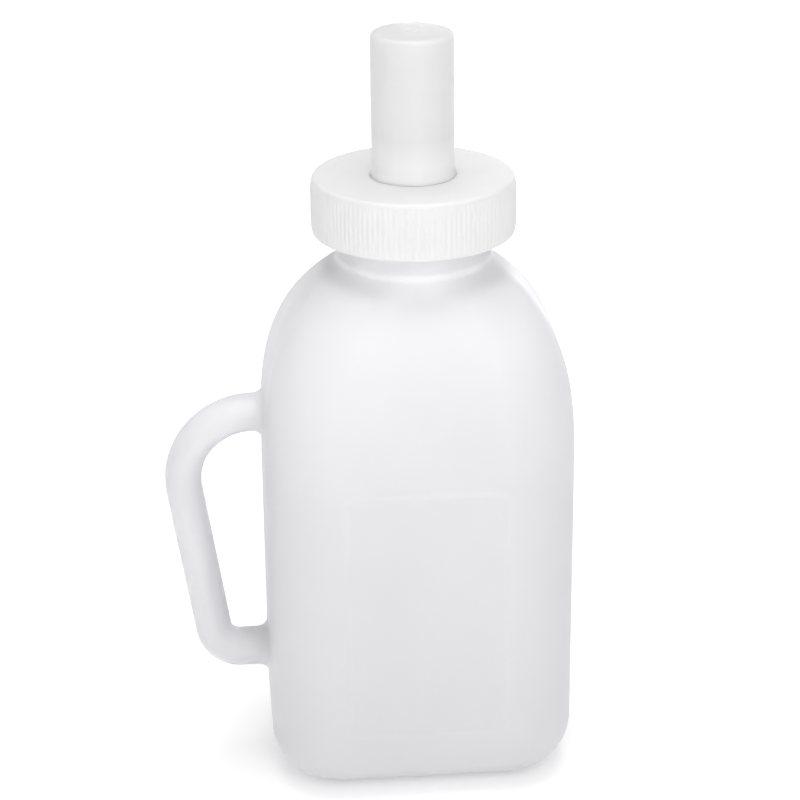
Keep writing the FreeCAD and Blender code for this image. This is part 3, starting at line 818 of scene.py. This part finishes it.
def reach_by_place(material, shader, shares):
    """Lets light spread further where the wall is thin or lit from all round. shares are (axis, where the
    reach is short, where it is long) along the piece's own axes."""
    nodes, links = material.node_tree.nodes, material.node_tree.links
    place = nodes.new("ShaderNodeTexCoord")
    split = nodes.new("ShaderNodeSeparateXYZ")
    links.new(place.outputs["Object"], split.inputs["Vector"])
    farthest = None
    for axis, short_at, long_at in shares:
        spread = nodes.new("ShaderNodeMapRange")
        spread.inputs["From Min"].default_value = short_at
        spread.inputs["From Max"].default_value = long_at
        spread.inputs["To Min"].default_value = WALL_REACH
        spread.inputs["To Max"].default_value = TUBE_REACH
        links.new(split.outputs[axis], spread.inputs["Value"])
        reach = spread.outputs["Result"]
        if farthest is not None:
            larger = nodes.new("ShaderNodeMath")
            larger.operation = "MAXIMUM"
            links.new(farthest, larger.inputs[0])
            links.new(reach, larger.inputs[1])
            reach = larger.outputs["Value"]
        farthest = reach
    links.new(farthest, shader.inputs["Subsurface Scale"])


def natural_polyethylene():
    """Milky blown plastic: uneven wall thickness shows as faint clouds, and the skin has a slight peel."""
    name, color = "natural_polyethylene", POLYETHYLENE_COLOR
    material, shader = new_material(name, color, roughness=0.42, subsurface=1, reach=WALL_REACH)
    handle_side = ("X", -HALF_X - HANDLE_BLEND / 2, -HALF_X - 3 * HANDLE_BLEND)
    neck_end = ("Z", SHOULDER_TOP - NECK_BLEND, SHOULDER_TOP)
    reach_by_place(material, shader, [handle_side, neck_end])
    clouds = noise(material, scale=22, detail=3, stretch=(1, 1, 0.5))
    # Painted shading by height: the body is painted darker towards the base, and the neck painted lighter,
    # where the cap shades it.
    stops = [
        (0, 0.79),
        (LOWER_BODY_SHADE_Z, 0.8),
        (SHOULDER_START, 0.82),
        (SHOULDER_TOP - NECK_LIGHT_FADE, 0.89),
        (SHOULDER_TOP, 1),
        (RIM_Z, 1),
    ]
    tinted(material, shader, clouds, color, spread=0.035, stops=stops)
    varied(material, noise(material, scale=60, detail=4), shader.inputs["Roughness"], low=0.36, high=0.5)
    peel = noise(material, scale=260, detail=2)
    grain = noise(material, scale=2200, detail=2)
    bumped(material, shader, [(clouds, 0.25 * MM), (peel, 0.04 * MM), (grain, 0.012 * MM)])
    return material


def moulded_polypropylene(name, color, grain_height):
    """Opaque white moulded plastic with a fine spark-eroded grain."""
    material, shader = new_material(name, color, roughness=0.4, subsurface=1, reach=1.2 * MM)
    tinted(material, shader, noise(material, scale=35, detail=3), color, spread=0.025)
    varied(material, noise(material, scale=90, detail=4), shader.inputs["Roughness"], low=0.34, high=0.48)
    peel = noise(material, scale=300, detail=2)
    grain = noise(material, scale=2600, detail=3)
    bumped(material, shader, [(peel, 0.015 * MM), (grain, grain_height)])
    return material


def silicone(name, color, roughness, reach, stops=None):
    """Soft milky rubber with faint flow marks. stops are (height, share of the colour) pairs of painted
    light
    and shade: the teat is painted lighter at its foot, just above the cap, and darker towards its tip."""
    material, shader = new_material(name, color, roughness, subsurface=1, reach=reach)
    flow = noise(material, scale=45, detail=4, stretch=(1, 1, 0.3))
    tinted(material, shader, flow, color, spread=0.03, stops=stops)
    wear = noise(material, scale=120, detail=5)
    varied(material, wear, shader.inputs["Roughness"], low=roughness - 0.06, high=roughness + 0.1)
    shader.inputs["Sheen Weight"].default_value = 0.08
    shader.inputs["Sheen Roughness"].default_value = 0.4
    grain = noise(material, scale=1500, detail=3)
    bumped(material, shader, [(flow, 0.08 * MM), (grain, 0.01 * MM)])
    return material


def polished_plastic():
    """The ball: glossy, with faint rolling scuffs."""
    name, color = "polished_plastic", BALL_COLOR
    material, shader = new_material(name, color, roughness=0.16, subsurface=1, reach=1 * MM)
    scuffs = noise(material, scale=400, detail=4, stretch=(1, 1, 0.1))
    varied(material, scuffs, shader.inputs["Roughness"], low=0.12, high=0.3)
    bumped(material, shader, [(noise(material, scale=1800, detail=2), 0.004 * MM)])
    return material


def studio_floor():
    """Pale matte paper that the light has nearly washed out."""
    material, shader = new_material("studio_floor", PAPER_COLOR, roughness=0.9, subsurface=0, reach=1 * MM)
    tinted(material, shader, noise(material, scale=9, detail=2), PAPER_COLOR, spread=0.02)
    shader.inputs["Specular IOR Level"].default_value = 0.1
    shader.inputs["Emission Color"].default_value = (1, 1, 1, 1)
    nodes, links = material.node_tree.nodes, material.node_tree.links
    place = nodes.new("ShaderNodeTexCoord")
    length = nodes.new("ShaderNodeVectorMath")
    length.operation = "LENGTH"
    spread = nodes.new("ShaderNodeMapRange")
    spread.interpolation_type = "SMOOTHSTEP"
    spread.inputs["From Min"].default_value = FLOOR_NEAR
    spread.inputs["From Max"].default_value = FLOOR_FAR
    spread.inputs["To Min"].default_value = FLOOR_GLOW_NEAR
    spread.inputs["To Max"].default_value = FLOOR_GLOW_FAR
    links.new(place.outputs["Object"], length.inputs[0])
    links.new(length.outputs["Value"], spread.inputs["Value"])
    links.new(spread.outputs["Result"], shader.inputs["Emission Strength"])
    return material


def coat(piece, material):
    """Gives a piece, or a CAD node's object, one material."""
    if not piece.material_slots:
        piece.data.materials.append(None)
    for place in piece.material_slots:
        place.link = "OBJECT"
        place.material = material


# ---- Camera, light and floor -------------------------------------------------------------------------
CAMERA_AZIMUTH = math.radians(-4.762)
CAMERA_ELEVATION = math.radians(22.722)
CAMERA_ROLL = math.radians(-0.54)
CAMERA_DISTANCE = 995.8 * MM
CAMERA_TARGET_Z = 154.8 * MM
CAMERA_TARGET_SIDE = -5.9 * MM
CAMERA_LENS = 111.8
CAMERA_SENSOR = 36

FLOOR_SIZE = 9.0
FLOOR_NEAR = 0.2
FLOOR_FAR = 0.7
FLOOR_GLOW_NEAR = 0.23
FLOOR_GLOW_FAR = 0.56
WORLD_STRENGTH = 0.55


def make_camera():
    sin_a, cos_a = math.sin(CAMERA_AZIMUTH), math.cos(CAMERA_AZIMUTH)
    sin_e, cos_e = math.sin(CAMERA_ELEVATION), math.cos(CAMERA_ELEVATION)
    back = Vector((sin_a * cos_e, -cos_a * cos_e, sin_e))
    right = Vector((cos_a, sin_a, 0))
    up = back.cross(right)
    sin_r, cos_r = math.sin(CAMERA_ROLL), math.cos(CAMERA_ROLL)
    rolled_right = right * cos_r + up * sin_r
    rolled_up = up * cos_r - right * sin_r
    target = Vector((0, 0, CAMERA_TARGET_Z)) + right * CAMERA_TARGET_SIDE
    data = bpy.data.cameras.new("camera")
    data.lens = CAMERA_LENS
    data.sensor_width = CAMERA_SENSOR
    camera = bpy.data.objects.new("camera", data)
    turn = Matrix((rolled_right, rolled_up, back)).transposed().to_4x4()
    camera.matrix_world = Matrix.Translation(target + back * CAMERA_DISTANCE) @ turn
    bpy.context.scene.collection.objects.link(camera)
    bpy.context.scene.camera = camera


def soft_box(name, place, size, power):
    """A square area light that faces the middle of the bottle."""
    data = bpy.data.lights.new(name, "AREA")
    data.size = size
    data.energy = power
    light = bpy.data.objects.new(name, data)
    light.visible_camera = False
    aim = Vector((0, 0, (bottle_low.z + teat_high.z) / 2)) - Vector(place)
    light.matrix_world = Matrix.Translation(place) @ aim.to_track_quat("-Z", "Y").to_matrix().to_4x4()
    bpy.context.scene.collection.objects.link(light)


def make_light():
    world = bpy.data.worlds.new("studio")
    world.use_nodes = True
    background = world.node_tree.nodes["Background"]
    background.inputs["Color"].default_value = (1, 1, 1, 1)
    background.inputs["Strength"].default_value = WORLD_STRENGTH
    bpy.context.scene.world = world
    bpy.context.scene.view_settings.view_transform = "Standard"
    soft_box("front", place=(0.03, -0.4, 0.33), size=0.2, power=0.37)
    soft_box("upper", place=(0.02, -0.36, 0.6), size=0.3, power=0.36)
    soft_box("left", place=(-0.6, -0.5, 0.3), size=0.4, power=0.3)
    soft_box("back", place=(0.3, 0.9, 0.22), size=0.5, power=1.2)
    soft_box("overhead", place=(0, 0.05, 1.0), size=0.6, power=3.8)


def make_floor():
    half = FLOOR_SIZE / 2
    corners = [(-half, -half, 0), (half, -half, 0), (half, half, 0), (-half, half, 0)]
    floor = mesh_object("floor", corners, [(0, 1, 2, 3)])
    floor.location.z = bottle_low.z
    coat(floor, studio_floor())


# ---- Putting it together -----------------------------------------------------------------------------
def settle(piece, body, node, material):
    """A new piece stands for a CAD node, rides on its body and takes its finish."""
    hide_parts(node)
    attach(piece, body)
    coat(piece, material)


def make_pieces():
    polyethylene = natural_polyethylene()
    settle(make_bottle(), "bottle", "bottle", polyethylene)
    thread = thread_mesh("neck_thread", NECK_RADIUS, 1, neck_thread_low(), NECK_THREAD_TURNS, 0)
    settle(thread, "bottle", "bottle", polyethylene)
    cap_plastic = moulded_polypropylene("cap_polypropylene", CAP_COLOR, grain_height=0.012 * MM)
    settle(make_cap(), "cap", "screw_cap", cap_plastic)
    # The teat's painted light and shade: painted lighter at its foot, as if lit by the cap below, and
    # painted darker towards its tip.
    housing_top = teat_low.z + HOUSING_REACH
    stops = [
        (cap_high.z, 1),
        (housing_top, 0.98),
        (housing_top + TEAT_PAINTED_SHADE_FADE, 0.82),
        (teat_high.z - TEAT_TIP_WALL, 0.8),
        (teat_high.z - TEAT_TIP_CROWN, 0.75),
    ]
    teat_rubber = silicone("teat_silicone", TEAT_COLOR, roughness=0.38, reach=5 * MM, stops=stops)
    settle(make_teat(), "teat_stack", "teat", teat_rubber)

    seal_rubber = silicone("seal_silicone", SEAL_COLOR, roughness=0.5, reach=3 * MM)
    valve_plastic = moulded_polypropylene("valve_polypropylene", VALVE_COLOR, grain_height=0.008 * MM)
    for node in ("rim_gasket", "vent_valve"):
        coat(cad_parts[node], seal_rubber)
    for node in ("support_disc", "valve_housing", "valve_cage"):
        coat(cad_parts[node], valve_plastic)
    coat(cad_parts["valve_ball"], polished_plastic())


make_pieces()
make_floor()
make_light()
make_camera()
